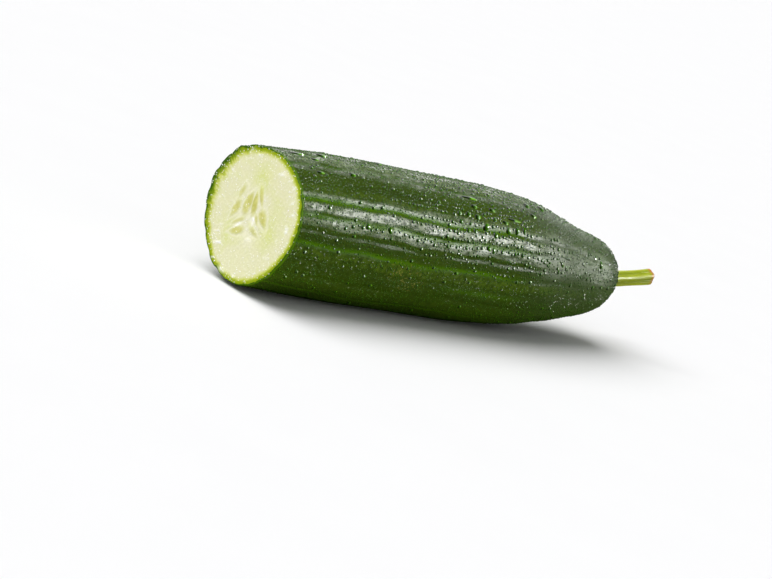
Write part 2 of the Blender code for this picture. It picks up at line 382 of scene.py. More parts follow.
@dataclass(frozen=True)
class FleshFinish:
    """Wet flesh at the cut: dark skin line, yellow-green rim, pale body, seeds and jelly, with painted white
    glints.
    """

    skin_line: Colour = colour_of(54, 92, 0)
    rim: Colour = colour_of(144, 164, 0)
    thick_rim: Colour = colour_of(106, 134, 0)
    under_rim: Colour = colour_of(194, 202, 72)
    flesh: Colour = colour_of(221, 220, 180)
    tint: Colour = colour_of(208, 215, 126)
    pale: Colour = colour_of(232, 230, 206)
    seed: Colour = colour_of(188, 186, 84)
    seed_side: Colour = colour_of(206, 204, 120)
    # Painted highlight: the white of the glints on the cut
    painted_flesh_glint: Colour = colour_of(254, 254, 250)
    cell_grain: float = 0.9 * MM
    cloud_grain: float = 5 * MM
    seed_grain: float = 2.2 * MM
    crowd_grain: float = 3.2 * MM
    cell_stray: float = 0.6 * MM
    cloud_stray: float = 1.0 * MM
    stroke_stray: Reach = (0.5 * MM, 2.2 * MM)
    under_rim_reach: Reach = (3.0 * MM, 1.3 * MM)
    rim_reach: Reach = (1.9 * MM, 0.9 * MM)
    skin_line_depths: tuple[float, float, float] = (0.6 * MM, 0.35 * MM, 0.25 * MM)
    glint_speck_spacing: Reach = (0.8 * MM, 0.9 * MM)
    glint_speck_size: Reach = (0.24, 0.08)
    glint_speck_reach: Reach = (9 * MM, 1 * MM)
    roughness: float = 0.34
    grain_depth: float = 0.16 * MM

    def material(self) -> Material:
        """Builds the flesh's material."""
        bench = Bench("flesh")
        place = bench.attribute("grown_from", "Vector")
        rim_depth, thick = bench.attribute("rim_depth"), bench.attribute("thick")
        cells = bench.noise(place, self.cell_grain, 4.0)
        clouds = bench.noise(place, self.cloud_grain, 3.0, 0.4)
        strokes = bench.noise(bench.attribute("rayed", "Vector"), self.cell_grain)
        depth = rim_depth + (cells - 0.5) * self.cell_stray + (clouds - 0.5) * self.cloud_stray
        thin_stray, thick_stray = self.stroke_stray
        depth = depth + (strokes - 0.5) * (thick * thick_stray + thin_stray)
        seed_tone = bench.noise(place, self.seed_grain, 2.0).step(0.35, 0.65)
        thin_line, thick_line, line_end = self.skin_line_depths
        colour = bench.mix(clouds.step(0.45, 0.75) * 0.30, self.flesh, self.tint)
        for share, over in (
            (bench.attribute("tinted") * (cells * 0.6 + 0.5), self.tint),
            (cells.step(0.46, 0.74) * 0.60, self.pale),
            (bench.attribute("pale"), self.pale),
            (
                (bench.attribute("seed") * (0.7 + cells * 0.35)).clamped(),
                bench.mix(seed_tone, self.seed, self.seed_side),
            ),
            (depth.step(*self.under_rim_reach), self.under_rim),
            (depth.step(*self.rim_reach), bench.mix(thick * 0.9, self.rim, self.thick_rim)),
            (depth.step(thick * thick_line + thin_line, line_end), self.skin_line),
        ):
            colour = bench.mix(share, colour, over)

        # Painted highlights: white glint specks and patches, where the flesh is also glossier and bumpier
        painted_glint_specks = [
            bench.dots(bench.stretched(place, scale), spacing).step(*self.glint_speck_size)
            for scale, spacing in zip(((1.0, 1.0, 0.5), (1.0, 0.5, 1.0)), self.glint_speck_spacing)
        ]
        crowd = bench.noise(place, self.crowd_grain, 2.0) + rim_depth.step(*self.glint_speck_reach) * 0.26
        wet_with_painted_glint = (painted_glint_specks[0] + painted_glint_specks[1]).clamped() * crowd.step(0.44, 0.66)
        wet_with_painted_glint = (wet_with_painted_glint + bench.attribute("wet_with_painted_glint") * (cells.step(0.3, 0.55) * 0.6 + 0.5)).clamped()
        return bench.finish(
            Base_Color=bench.mix(wet_with_painted_glint * 0.95, colour, self.painted_flesh_glint),
            Roughness=self.roughness - wet_with_painted_glint * 0.2,
            Normal=bench.bump(cells + wet_with_painted_glint * 0.8, self.grain_depth),
            IOR=1.36,
            Subsurface_Weight=0.35,
            Subsurface_Radius=(1.0, 0.9, 0.35),
            Subsurface_Scale=1.2 * MM,
        )


@dataclass(frozen=True)
class StalkFinish:
    """Yellow-green ribbed stalk with painted highlight lines along its fibres and a browned rim at its cut
    tip.
    """

    furrow: Colour = colour_of(134, 150, 0)
    rib: Colour = colour_of(184, 194, 40)
    # Painted highlights: the pale lines along the fibres
    painted_highlight_lines: Colour = colour_of(222, 226, 150)
    browned: Colour = colour_of(196, 112, 14)
    pith: Colour = colour_of(176, 172, 84)
    fibre_grain: float = 0.7 * MM
    mottle_grain: float = 0.9 * MM
    grain_depth: float = 0.14 * MM

    def material(self) -> Material:
        """Builds the stalk's material."""
        bench = Bench("stalk")
        place = bench.attribute("grown_from", "Vector")
        fibres = bench.noise(bench.stretched(place, (0.12, 1.0, 1.0)), self.fibre_grain)
        mottle = bench.noise(place, self.mottle_grain, 4.0)
        raised = (bench.attribute("rib") * 0.7 + fibres * 0.9 - 0.3).clamped()
        browned = (bench.attribute("cut_edge") * (0.2 + mottle * 1.5)).clamped()
        colour = bench.mix(raised, self.furrow, self.rib)
        for share, over in (
            # Painted highlights along the fibres
            (fibres.step(0.58, 0.70) * 0.7, self.painted_highlight_lines),
            (mottle.step(0.66, 0.72) * 0.3, self.pith),
            (bench.attribute("cut"), bench.mix(mottle, self.pith, self.furrow)),
            (browned, self.browned),
        ):
            colour = bench.mix(share, colour, over)
        return bench.finish(
            Base_Color=colour,
            Roughness=0.36 + mottle * 0.2,
            Normal=bench.bump(fibres * 0.7 + mottle * 0.4, self.grain_depth),
            Specular_IOR_Level=0.1,
            Coat_Weight=mottle.step(0.3, 0.6) * 0.9,
            Coat_Roughness=0.22,
            Subsurface_Weight=0.4,
            Subsurface_Radius=(1.0, 1.0, 0.3),
            Subsurface_Scale=1.6 * MM,
        )


@dataclass(frozen=True)
class WaterFinish:
    """Drops of water: painted shade on the far side from the window lamp, painted light towards it, and a
    painted white glint.
    """

    # Painted shade: the dark colour of each drop's side away from the window lamp
    edge: Colour = colour_of(14, 30, 1)
    clear: Colour = colour_of(36, 74, 1)
    # Painted light: the brighter green of each drop's side towards the window lamp
    painted_lit_side: Colour = colour_of(78, 130, 6)
    # Painted highlight: the white of each drop's glint
    painted_drop_glint: Colour = colour_of(255, 253, 232)
    roughness: float = 0.08

    def material(self) -> Material:
        """Builds the water's material."""
        bench = Bench("water")
        painted_lit_side = bench.attribute("painted_lit_side")
        # Painted shade and painted light: dark away from the window lamp, brighter green towards it
        colour = bench.mix(painted_lit_side.step(0.05, 0.5), self.edge, self.clear)
        colour = bench.mix(painted_lit_side.step(0.55, 0.9), colour, self.painted_lit_side)
        # Painted highlight: a white glint painted on each drop
        colour = bench.mix(bench.attribute("painted_drop_glint").step(0.35, 0.8), colour, self.painted_drop_glint)
        return bench.finish(
            Base_Color=colour,
            Roughness=self.roughness,
            IOR=1.45,
            Specular_IOR_Level=0.6,
        )


@dataclass(frozen=True)
class FloorFinish:
    """Plain white matt board with the faintest unevenness."""

    colour: Colour = (0.93, 0.93, 0.935)
    shade: Colour = (0.91, 0.91, 0.918)

    def material(self) -> Material:
        """Builds the floor's material."""
        bench = Bench("floor")
        place = bench.node("ShaderNodeTexCoord", {}, {}, "Object")
        return bench.finish(
            Base_Color=bench.mix(bench.noise(place, 40 * MM), self.colour, self.shade),
            Roughness=0.9,
            Specular_IOR_Level=0.1,
        )


# Shapes


@dataclass(frozen=True)
class Rib:
    """One rib along the body, with the furrow beyond it."""

    clock: float
    height: float
    furrow: float


@dataclass(frozen=True)
class Streak:
    """A yellow-green line along the skin."""

    clock: float
    half_width: float
    strength: float
    start: float = 0.0
    end: float = 118 * MM


RIBS = tuple(
    Rib(clock, height * MM, furrow * MM)
    for clock, height, furrow in (
        (12, 0.25, 0.15),
        (33, 0.05, 0.18),
        (49.5, 0.20, 0.38),
        (62, 0.25, 0.36),
        (75.5, 0.20, 0.16),
        (86, 0.05, 0.26),
        (98, 0.30, 0.12),
        (114, 0.05, 0.20),
        (132, 0.10, 0.15),
        (152, 0.05, 0.30),
        (172, 0.10, 0.12),
        (188, 0.10, 0.38),
        (206, 0.35, 0.30),
        (224, 0.10, 0.35),
        (243, 0.25, 0.40),
        (262, 0.30, 0.42),
        (281, 0.45, 0.45),
        (298, 0.20, 0.40),
        (318, 0.55, 0.40),
        (336, 0.20, 0.35),
        (352, 0.10, 0.30),
    )
)

STREAKS = (
    Streak(22.0, 1.8, 0.30),
    Streak(55.8, 2.3, 1.00),
    Streak(69.0, 2.1, 0.85, end=128 * MM),
    Streak(92.0, 2.1, 0.95),
    Streak(111.0, 2.6, 0.45, start=70 * MM, end=126 * MM),
    Streak(142.0, 1.4, 0.50),
    Streak(162.0, 1.4, 0.60),
    Streak(197.0, 1.5, 0.90),
    Streak(215.0, 1.3, 0.55),
    Streak(233.5, 1.6, 0.95),
    Streak(252.5, 1.5, 0.80),
    Streak(271.5, 1.7, 1.00),
    Streak(289.5, 1.5, 0.75),
    Streak(308.0, 1.6, 0.95),
    Streak(327.0, 1.5, 0.80),
    Streak(344.0, 1.4, 0.60),
)


@dataclass
class BodyShape:
    """The body's own form: a turned profile, ribbed, bent, and set down on the floor."""

    length: float = 176 * MM
    stations: tuple[tuple[float, float], ...] = (
        (0 * MM, 22.5 * MM),
        (35 * MM, 24.1 * MM),
        (70 * MM, 24.3 * MM),
        (102 * MM, 24.4 * MM),
        (126 * MM, 22.7 * MM),
        (141 * MM, 19.3 * MM),
        (157 * MM, 15.9 * MM),
    )
    shoulder_slope: float = -0.10
    end_bluntness: float = 2.4
    bend: float = 8 * MM
    corner_height: float = 0.6 * MM
    corner_at: float = 298.0
    furrow_sharpness: int = 6
    ribs_fade: Reach = (95 * MM, 150 * MM)
    ribs_at_shoulder: float = 0.25
    wander: float = 1.3
    wander_length: float = 115 * MM
    ripple: float = 0.8
    ripple_length: float = 47 * MM
    ripple_from: Reach = (0.0, 20 * MM)
    fine_ripple: float = 0.5
    fine_ripple_length: float = 0.42
    unevenness: float = 0.35
    unevenness_length: float = 58 * MM
    unevenness_from: Reach = (0.0, 30 * MM)
    lump_height: float = 0.09 * MM
    lumps: tuple[tuple[float, int, float, float], ...] = (
        (1.0, 5, 7 * MM, 0.0),
        (1.0, 9, -11 * MM, 1.3),
        (0.7, 14, 4.3 * MM, 0.4),
        (0.35, 27, -2.6 * MM, 2.1),
    )
    chin_height: float = 1.4 * MM
    chin_at: Reach = (149 * MM, 163.0)
    chin_reach: Reach = (13 * MM, 40.0)
    dimple_depth: float = 1.0 * MM
    dimple_radius: float = 5.5 * MM
    skin_rings: int = 118
    end_rings: int = 26
    sides: int = 440
    normal_step: float = 0.05 * MM
    offset: Vector = field(default_factory=Vector)

    def __post_init__(self) -> None:
        """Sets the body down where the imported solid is, by the high corner of its box."""
        clock, arc = np.meshgrid(np.arange(0.0, 360.0, 3.0), self.arc())
        low = self.surface(arc, clock).min(axis=(0, 1))
        high = self.surface(arc, clock).max(axis=(0, 1))
        solid_low, solid_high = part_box("fruit")
        self.offset = Vector((solid_high.x, (solid_low.y + solid_high.y) / 2, solid_high.z)) - Vector(
            (high[0], (low[1] + high[1]) / 2, high[2])
        )

    def station_radius(self, x: Array) -> Array:
        """The body's mean radius at distances from the cut.

        Args:
            x: The distances.

        Returns:
            The radii, on a smooth curve through the stations.
        """
        places, radii = (np.array(row) for row in zip(*self.stations))
        slopes = np.empty_like(radii)
        slopes[1:-1] = (radii[2:] - radii[:-2]) / (places[2:] - places[:-2])
        slopes[0] = (radii[1] - radii[0]) / (places[1] - places[0])
        slopes[-1] = self.shoulder_slope
        i = np.clip(np.searchsorted(places, x, side="right") - 1, 0, len(places) - 2)
        span = places[i + 1] - places[i]
        u = (x - places[i]) / span
        return (
            (2 * u**3 - 3 * u**2 + 1) * radii[i]
            + (u**3 - 2 * u**2 + u) * span * slopes[i]
            + (3 * u**2 - 2 * u**3) * radii[i + 1]
            + (u**3 - u**2) * span * slopes[i + 1]
        )

    def profile(self) -> tuple[Array, Array]:
        """The skin's profile, from the cut's rim to the middle of the stalk end.

        Returns:
            The distances from the cut, and the radii.
        """
        end_at, end_radius = self.stations[-1]
        x = np.linspace(0.0, end_at, self.skin_rings, endpoint=False)
        turn = np.linspace(0.0, math.pi / 2, self.end_rings + 1)
        power = 2 / self.end_bluntness
        end_x = end_at + (self.length - end_at) * np.sin(turn) ** power
        tapered = end_radius + self.shoulder_slope * (end_x - end_at)
        end_r = tapered * np.cos(turn).clip(0.0) ** power
        end_r[-1] = 0.0
        dimple = self.dimple_depth * np.exp(-2 * (end_r / self.dimple_radius) ** 2)
        radii = np.concatenate([self.station_radius(x), end_r])
        return np.concatenate([x, end_x - dimple]), radii

    def arc(self) -> Array:
        """The profile's arc length at each of its points, from the rim."""
        x, radius = self.profile()
        return np.concatenate([[0.0], np.cumsum(np.hypot(np.diff(x), np.diff(radius)))])

    def stray(self, clock: Array, x: Array) -> Array:
        """Clock angles with the ribs' wander taken out.

        Args:
            clock: Clock angles.
            x: Distances from the cut.

        Returns:
            The angle at the cut of the rib or furrow that passes there.
        """
        turn = np.radians(clock)
        wave = np.sin(math.tau * x / self.wander_length + turn)
        ripple = np.sin(math.tau * x / self.ripple_length + 2 * turn)
        fine = np.sin(math.tau * x / (self.fine_ripple_length * self.ripple_length) - 5 * turn)
        ripple = (ripple + self.fine_ripple * fine) * self.ripple * smooth_step(x, *self.ripple_from)
        return clock + self.wander * wave + ripple

    def rib_relief(self, clock: Array, x: Array) -> Array:
        """How far the ribs stand out and the furrows lie in.

        Args:
            clock: Clock angles.
            x: Distances from the cut.

        Returns:
            The relief, in metres.
        """
        at = np.array([rib.clock for rib in RIBS])
        height = np.array([rib.height for rib in RIBS])
        furrow = np.array([rib.furrow for rib in RIBS])
        angle = (self.stray(clock, x) - at[0]) % 360 + at[0]
        i = np.searchsorted(at, angle, side="right") - 1
        beyond = (i + 1) % len(RIBS)
        u = (angle - at[i]) / ((at[beyond] - at[i]) % 360)
        crest = height[i] + (height[beyond] - height[i]) * smooth_step(u, 0, 1)
        wave = np.sin(math.tau * x / self.unevenness_length + 2.4 * i)
        uneven = 1 + self.unevenness * wave * smooth_step(x, *self.unevenness_from)
        return crest - uneven * furrow[i] * np.sin(np.pi * u).clip(0) ** self.furrow_sharpness

    def relief(self, clock: Array, x: Array) -> Array:
        """How far the skin stands out from the mean radius: ribs, soft corners, lumps and a chin.

        Args:
            clock: Clock angles.
            x: Distances from the cut.

        Returns:
            The relief, in metres.
        """
        fade = 1 - (1 - self.ribs_at_shoulder) * smooth_step(x, *self.ribs_fade)
        turn = np.radians(clock)
        corner = self.corner_height * np.cos(3 * np.radians(clock - self.corner_at))
        lumps = sum(
            share * np.sin(waves * turn + x / length + start) for share, waves, length, start in self.lumps
        )
        chin = bell(
            (x - self.chin_at[0]) / self.chin_reach[0], turn_from(clock, self.chin_at[1]) / self.chin_reach[1]
        )
        ribbed = fade * (self.rib_relief(clock, x) + corner)
        return ribbed + self.lump_height / 2 * lumps + self.chin_height * chin

    def grown(self, x: Array, radius: Array, clock: Array) -> Array:
        """Where points of the plain turned body go once it is ribbed, bent and set down.

        Args:
            x: Distances from the cut.
            radius: Distances from the axis.
            clock: Clock angles.

        Returns:
            The points, in the frame, before the belly is pressed flat.
        """
        rise = self.relief(clock, x) * np.minimum(radius / self.stations[-1][1], 1.0)
        across = clock_directions(clock) * (radius + rise)[..., None]
        slope = -2 * self.bend * x / self.length**2
        lean = np.hypot(1.0, slope)
        turned_x = across[..., 0] / lean - across[..., 1] * slope / lean
        turned_y = across[..., 0] * slope / lean + across[..., 1] / lean
        sway = -self.bend * (x / self.length) ** 2
        place = np.stack([x + turned_x, sway + turned_y, across[..., 2]], axis=-1)
        return place + np.array(self.offset)

    def surface(self, arc: Array, clock: Array) -> Array:
        """Points on the skin.

        Args:
            arc: Arc lengths along the profile from the cut's rim.
            clock: Clock angles.

        Returns:
            The points, in the frame.
        """
        x, radius = self.profile()
        at = self.arc()
        return self.grown(np.interp(arc, at, x), np.interp(arc, at, radius), clock)

    def skin_normal(self, arc: Array, clock: Array) -> Array:
        """The skin's outward normals.

        Args:
            arc: Arc lengths along the profile from the cut's rim.
            clock: Clock angles.

        Returns:
            The unit normals.
        """
        step = self.normal_step
        girth = np.interp(arc, self.arc(), self.profile()[1])
        here = self.surface(arc, clock)
        ahead = self.surface(arc + step, clock) - here
        beside = self.surface(arc, clock + np.degrees(step / girth)) - here
        normal = unit(np.cross(beside, ahead))
        outward = here - self.surface(arc, clock + 180.0)
        return normal * np.sign((normal * outward).sum(-1, keepdims=True))

    def axis_point(self, x: float) -> Vector:
        """A point of the body's axis."""
        return Vector((x, -self.bend * (x / self.length) ** 2, 0.0)) + self.offset

    def axis_direction(self, x: float) -> Vector:
        """The way that the axis runs, level, at a distance from the cut."""
        return Vector((1.0, -2 * self.bend * x / self.length**2, 0.0)).normalized()


def spun(name: str, profile: Sequence[tuple[float, float]], sides: int) -> Piece:
    """Draws a profile by extruding a point, and turns it round the X axis.

    Args:
        name: The piece's name.
        profile: Points (x, radius), with the first and last on the axis.
        sides: How many sides the piece has.

    Returns:
        The closed turned piece, at the origin.
    """
    deselect_all()
    bpy.ops.mesh.primitive_plane_add(size=2 * MM, location=(0, 0, 0))
    piece = bpy.context.object
    piece.name = piece.data.name = name
    with editing():
        bpy.ops.mesh.merge(type="CENTER")
        x, radius = profile[0]
        bpy.ops.transform.translate(value=(x, 0.0, radius))
        for next_x, next_radius in profile[1:]:
            step = (next_x - x, 0.0, next_radius - radius)
            bpy.ops.mesh.extrude_region_move(TRANSFORM_OT_translate={"value": step})
            x, radius = next_x, next_radius
    turned = piece.modifiers.new("turned", "SCREW")
    turned.axis = "X"
    turned.steps = turned.render_steps = sides
    turned.use_merge_vertices = True
    turned.merge_threshold = MERGED
    bpy.ops.object.modifier_apply(modifier=turned.name)
    with editing():
        bpy.ops.mesh.remove_doubles(threshold=MERGED)
        bpy.ops.mesh.normals_make_consistent(inside=False)
    return piece


def points_of(piece: Piece) -> Array:
    """A piece's vertices.

    Args:
        piece: The piece.

    Returns:
        One row for each vertex.
    """
    flat = np.empty(3 * len(piece.data.vertices))
    piece.data.vertices.foreach_get("co", flat)
    return flat.reshape(-1, 3)


def move_points(piece: Piece, points: Array) -> None:
    """Puts a piece's vertices in new places."""
    piece.data.vertices.foreach_set("co", points.astype(np.float32).ravel())
    piece.data.update()


def store(piece: Piece, name: str, values: Array) -> None:
    """Keeps a number or a place on each vertex, for the material to read.

    Args:
        piece: The piece.
        name: The attribute's name.
        values: One number or one row for each vertex.
    """
    kind, key = ("FLOAT_VECTOR", "vector") if values.ndim == 2 else ("FLOAT", "value")
    attribute = piece.data.attributes.new(name, kind, "POINT")
    attribute.data.foreach_set(key, values.astype(np.float32).ravel())


@dataclass(frozen=True)
class Mark:
    """A seed or a soft patch of the cut face: where it is, which way it leans, and its size."""

    out: float
    clock: float
    lean: float
    length: float
    width: float
    strength: float

    def reach(self, y: Array, z: Array) -> tuple[Array, Array]:
        """How far points are from its middle.

        Args:
            y: Places across.
            z: Places up.

        Returns:
            The distances along it in lengths, and the distances across it in widths.
        """
        centre = clock_directions(np.array(self.clock)) * self.out
        way = clock_directions(np.array(self.lean))
        along = (y - centre[1]) * way[1] + (z - centre[2]) * way[2]
        aside = (y - centre[1]) * way[2] - (z - centre[2]) * way[1]
        return along / self.length, aside / self.width


def marks(*rows: Sequence[float]) -> tuple[Mark, ...]:
    """Marks by out, clock, lean, length, width and strength, in millimetres and degrees."""
    return tuple(
        Mark(out * MM, clock, lean, length * MM, width * MM, strength)
        for out, clock, lean, length, width, strength in rows
    )


@dataclass
class Fruit:
    """The fruit: ribbed skin, and the cut face with its rim, flesh and seeds."""

    body: BodyShape
    seeds: tuple[Mark, ...] = marks(
        (3.9, -46, 188, 10, 5.4, 0.85),
        (3.7, 2, 170, 9.8, 4.4, 0.85),
        (6.8, 18, -28, 8.6, 3.2, 0.6),
        (8.6, -55, 16, 6.4, 3.2, 0.5),
        (7.7, -97, 26, 8.4, 4.6, 0.7),
        (6.1, -131, 54, 7.8, 3, 0.5),
        (8, -151, 60, 8.2, 4, 0.75),
        (5.7, 85, -46, 7.6, 5.2, 0.75),
        (3.2, 104, -38, 5.4, 2.6, 0.5),
        (6.2, 142, -74, 6.4, 3.4, 0.5),
    )
    tints: tuple[Mark, ...] = marks(
        (12.5, -3, 0, 8, 8, 1),
        (8.5, 8, 0, 5, 5, 0.6),
        (11.7, 109, 0, 7.2, 7.2, 0.9),
        (9.5, 84, 0, 6, 6, 0.45),
        (10.2, -125, 0, 4.8, 4.8, 0.6),
        (13, -143, 0, 5.6, 5.6, 0.7),
        (12, 62, 0, 6.4, 6.4, 0.35),
        (4.3, 150, 0, 3.2, 3.2, 0.5),
    )
    pales: tuple[Mark, ...] = marks(
        (2.2, 128, 0, 2.2, 2.2, 1),
        (3.1, 134, 0, 1.8, 1.8, 0.8),
        (8, 160, 0, 5.2, 5.2, 0.55),
        (6.6, -140, 0, 2.6, 2.6, 0.8),
        (7.4, 32, 0, 3.2, 3.2, 0.4),
    )
    # Painted highlights: white glint patches on the cut, where it is also glossier
    wet_painted_glints: tuple[Mark, ...] = marks(
        (2.5, 131.6, -4, 2.5, 0.9, 1),
        (6.8, -141.3, 46, 3.3, 0.9, 1),
        (18.1, 24.6, 76, 2.1, 0.9, 0.9),
        (17.9, 58.6, 36, 1.9, 0.6, 0.8),
        (17.3, 86.1, -14, 2.5, 1.2, 0.9),
        (17.5, -143.1, 71, 3.3, 0.8, 1),
        (16.9, -130.4, 66, 2.5, 0.6, 0.8),
        (21, -168.2, 86, 3.3, 1.2, 0.8),
        (19.5, -16, 71, 1.9, 0.6, 0.9),
        (8.1, 160.4, 86, 2.9, 1.2, 0.5),
        (20.7, -27.5, 36, 2.1, 0.5, 0.8),
        (19.1, 36.7, 66, 1.1, 0.6, 0.8),
        (19.8, 45.7, 36, 1.7, 0.5, 0.8),
        (18.8, 69.8, 66, 1.7, 0.7, 0.8),
        (14.8, -124.5, 76, 1.2, 0.6, 0.7),
        (21.3, -151.7, 66, 1.4, 0.5, 0.9),
        (20.2, 175.9, 86, 2.1, 0.8, 0.8),
        (16.9, -56.9, 106, 1.7, 0.7, 0.6),
        (15.8, 102.4, 21, 1.2, 0.6, 0.6),
        (8.7, -103, -24, 0.6, 0.4, 1),
        (16.7, 128.5, 76, 2.5, 0.8, 0.45),
    )
    thick_rim_at: float = 284.0
    thick_rim_half_turn: float = 42.0
    thick_rim_growth: float = 1.1
    ray_stretch: float = 0.3
    seed_point: float = 0.55
    seed_shown: float = 0.75
    seed_proud: float = 0.14 * MM
    pocket_start: Reach = (0.8, 1.1)
    pocket_end: Reach = (1.15, 1.7)
    pocket_hidden: Reach = (0.1, 0.5)
    pocket_depth: float = 0.10 * MM
    pocket_paleness: float = 0.6
    grain_height: float = 0.03 * MM
    grain_waves: tuple[float, float, float] = (0.41 * MM, 0.37 * MM, 0.9 * MM)
    relief_out_to: float = 0.97
    full_rib: float = 0.35 * MM
    core_radius: float = 11 * MM
    core_rings: int = 44
    flesh_rings: int = 18
    edge_round: float = 0.22 * MM
    dry_side: Reach = (76.0, 98.0)
    dry_side_share: float = 0.85
    dry_neck: Reach = (105 * MM, 140 * MM)
    dry_neck_share: float = 0.3
    streak_ends: Reach = (12 * MM, 30 * MM)
    scars: tuple[tuple[float, float, float, float], ...] = (
        (101.0, 50 * MM, 9.0, 7 * MM),
        (112.0, 58 * MM, 8.0, 5 * MM),
        (255.0, 88 * MM, 7.0, 9 * MM),
    )

    def profile(self) -> list[tuple[float, float]]:
        """The whole profile: cut face, rounded rim, skin and stalk end.

        Returns:
            Points (x, radius) from the middle of the cut to the middle of the stalk end.
        """
        rim = self.body.stations[0][1]
        core = np.linspace(0.0, self.core_radius, self.core_rings, endpoint=False)
        wall = np.linspace(self.core_radius, rim - self.edge_round, self.flesh_rings)
        face = [(0.0, float(r)) for r in np.concatenate([core, wall])]
        edge = [
            (self.edge_round * (1 - math.cos(turn)), rim - self.edge_round * (1 - math.sin(turn)))
            for turn in (math.radians(30.0), math.radians(60.0))
        ]
        skin = [(float(x), float(r)) for x, r in zip(*self.body.profile())]
        skin[0] = (self.edge_round, rim)
        return face + edge + skin

    def patch_sum(self, patches: Sequence[Mark], y: Array, z: Array) -> Array:
        """How strongly patches show at points of the cut face.

        Args:
            patches: The patches.
            y: Places across.
            z: Places up.

        Returns:
            A share from 0 to 1 for each point.
        """
        total = np.zeros_like(y)
        for patch in patches:
            total += patch.strength * bell(2 * np.hypot(*patch.reach(y, z)))
        return total.clip(0, 1)

    def seed_shares(self, y: Array, z: Array) -> tuple[Array, Array]:
        """Seeds and the pockets round them at points of the cut face.

        Args:
            y: Places across.
            z: Places up.

        Returns:
            The share of seed, and the share of pocket, for each point.
        """
        inside = np.zeros_like(y)
        around = np.zeros_like(y)
        for seed in self.seeds:
            along, aside = seed.reach(y, z)
            taper = 1 - self.seed_point * (0.5 - along.clip(-0.5, 0.5))
            reach = 2 * np.hypot(along, aside / taper)
            inside = np.maximum(inside, seed.strength * (1 - reach**2).clip(0))
            ring = smooth_step(reach, *self.pocket_start) * (1 - smooth_step(reach, *self.pocket_end))
            around = np.maximum(around, seed.strength * ring)
        return inside, around * (1 - smooth_step(inside, *self.pocket_hidden))

    def build(self) -> Piece:
        """Models the fruit and stores what its materials read.

        Returns:
            The piece.
        """
        piece = spun("cucumber_fruit", self.profile(), self.body.sides)
        plain = points_of(piece)
        x, y, z = plain.T
        radius = np.hypot(y, z)
        clock = np.degrees(np.arctan2(-y, z))
        grown = self.body.grown(x, radius, clock)
        rim = self.body.stations[0][1]
        on_cut = x < self.edge_round / 4
        seed, pocket = self.seed_shares(y, z)
        wave_y, wave_z, wave_lean = self.grain_waves
        grain = np.sin(y / wave_y) * np.sin(z / wave_z + y / wave_lean)
        rise = self.seed_proud * seed - self.pocket_depth * pocket + self.grain_height * grain
        grown[:, 0] -= np.where(on_cut & (radius < self.relief_out_to * rim), rise, 0.0)
        grown[:, 2] = grown[:, 2].clip(0.0)
        move_points(piece, grown)

        store(piece, "grown_from", plain)
        store(piece, "rib", self.body.rib_relief(clock, x) / self.full_rib)
        store(piece, "streak", self.streaks(clock, x))
        store(piece, "wetness", self.wetness(clock, x))
        store(piece, "scarred", self.scarring(clock, x))
        thick = bell(turn_from(clock, self.thick_rim_at) / self.thick_rim_half_turn)
        store(piece, "rim_depth", (rim - radius) / (1 + self.thick_rim_growth * thick))
        store(piece, "thick", thick)
        around = clock_directions(clock) * rim
        store(piece, "rayed", np.column_stack([self.ray_stretch * radius, around[:, 1], around[:, 2]]))
        # Painted highlights on the cut, where it is also glossier
        store(piece, "wet_with_painted_glint", np.where(on_cut, self.patch_sum(self.wet_painted_glints, y, z), 0.0))
        store(piece, "seed", np.where(on_cut, smooth_step(seed, 0.0, self.seed_shown), 0.0))
        pale = pocket * self.pocket_paleness + self.patch_sum(self.pales, y, z)
        store(piece, "pale", np.where(on_cut, pale, 0.0))
        store(piece, "tinted", self.patch_sum(self.tints, y, z))
        self.dress(piece, x)
        return piece

    def streaks(self, clock: Array, x: Array) -> Array:
        """How strongly the yellow-green streaks show on the skin.

        Args:
            clock: Clock angles.
            x: Distances from the cut.

        Returns:
            A share from 0 to 1 for each point.
        """
        angle = self.body.stray(clock, x)
        total = np.zeros_like(x)
        for streak in STREAKS:
            starts, ends = self.streak_ends
            fade = 1 - smooth_step(x, streak.end - ends, streak.end)
            if streak.start > 0:
                fade = fade * smooth_step(x, streak.start, streak.start + starts)
            total += streak.strength * fade * bell(turn_from(angle, streak.clock) / streak.half_width)
        return total.clip(0, 1)

    def wetness(self, clock: Array, x: Array) -> Array:
        """How wet the skin is: all over on top, hardly below, and less towards the neck."""
        beside = self.dry_side_share * smooth_step(np.abs(turn_from(clock, 0.0)), *self.dry_side)
        return (1 - beside) * (1 - self.dry_neck_share * smooth_step(x, *self.dry_neck))

    def scarring(self, clock: Array, x: Array) -> Array:
        """Where the skin is scarred: one rubbed patch low on the near side and one behind.

        Args:
            clock: Clock angles.
            x: Distances from the cut.

        Returns:
            A share from 0 to 1 for each point.
        """
        total = np.zeros_like(x)
        for scar_clock, scar_x, half_turn, half_length in self.scars:
            total += bell(turn_from(clock, scar_clock) / half_turn, (x - scar_x) / half_length)
        return total.clip(0, 1)

    def dress(self, piece: Piece, x: Array) -> None:
        """Gives the skin and the cut their materials.

        Args:
            piece: The fruit.
            x: Each vertex's distance from the cut before the body was grown.
        """
        piece.data.materials.append(SkinFinish().material())
        piece.data.materials.append(FleshFinish().material())
        corner = np.empty(len(piece.data.loops), dtype=np.int32)
        piece.data.loops.foreach_get("vertex_index", corner)
        first = np.empty(len(piece.data.polygons), dtype=np.int32)
        piece.data.polygons.foreach_get("loop_start", first)
        furthest = np.maximum.reduceat(x[corner], first)
        on_cut = (furthest < 0.9 * self.edge_round).astype(np.int32)
        piece.data.polygons.foreach_set("material_index", on_cut)
        deselect_all()
        piece.select_set(True)
        bpy.ops.object.shade_smooth()


